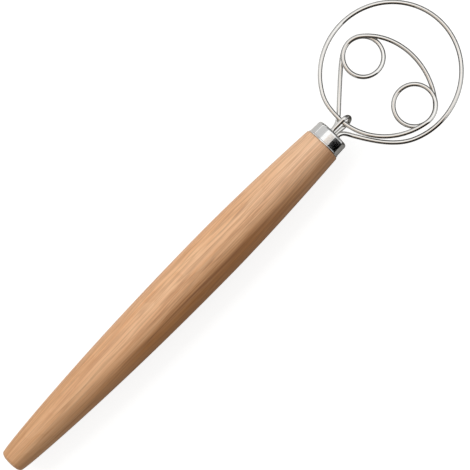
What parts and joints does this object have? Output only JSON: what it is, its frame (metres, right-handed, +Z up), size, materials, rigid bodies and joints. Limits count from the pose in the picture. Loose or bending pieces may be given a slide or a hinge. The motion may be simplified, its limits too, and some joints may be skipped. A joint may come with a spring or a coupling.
{
  "type": "dough whisk",
  "caption": "Hand whisk for stiff dough: a turned wooden handle with a steel ferrule and a flat ring of bent wire with two inner loops.",
  "frame": {"origin": "on the surface that the whisk lies on, under the middle of its outline; the handle's belly touches that surface", "axes": "+X along the handle from the butt to the ring's tip, +Z up and square to the plane of the ring, +Y across"},
  "size_m": [0.3428, 0.0798, 0.0285],
  "materials": {
    "wood": "turned and sanded, satin",
    "ferrule_steel": "polished stainless sheet",
    "wire_steel": "polished stainless wire",
    "glue": "cured resin"
  },
  "bodies": {
    "root": {"handle": "wood", "ferrule": "ferrule_steel", "whisk_wire": "wire_steel", "neck_hook": "wire_steel", "glue_fill": "glue"}
  },
  "joints": []
}
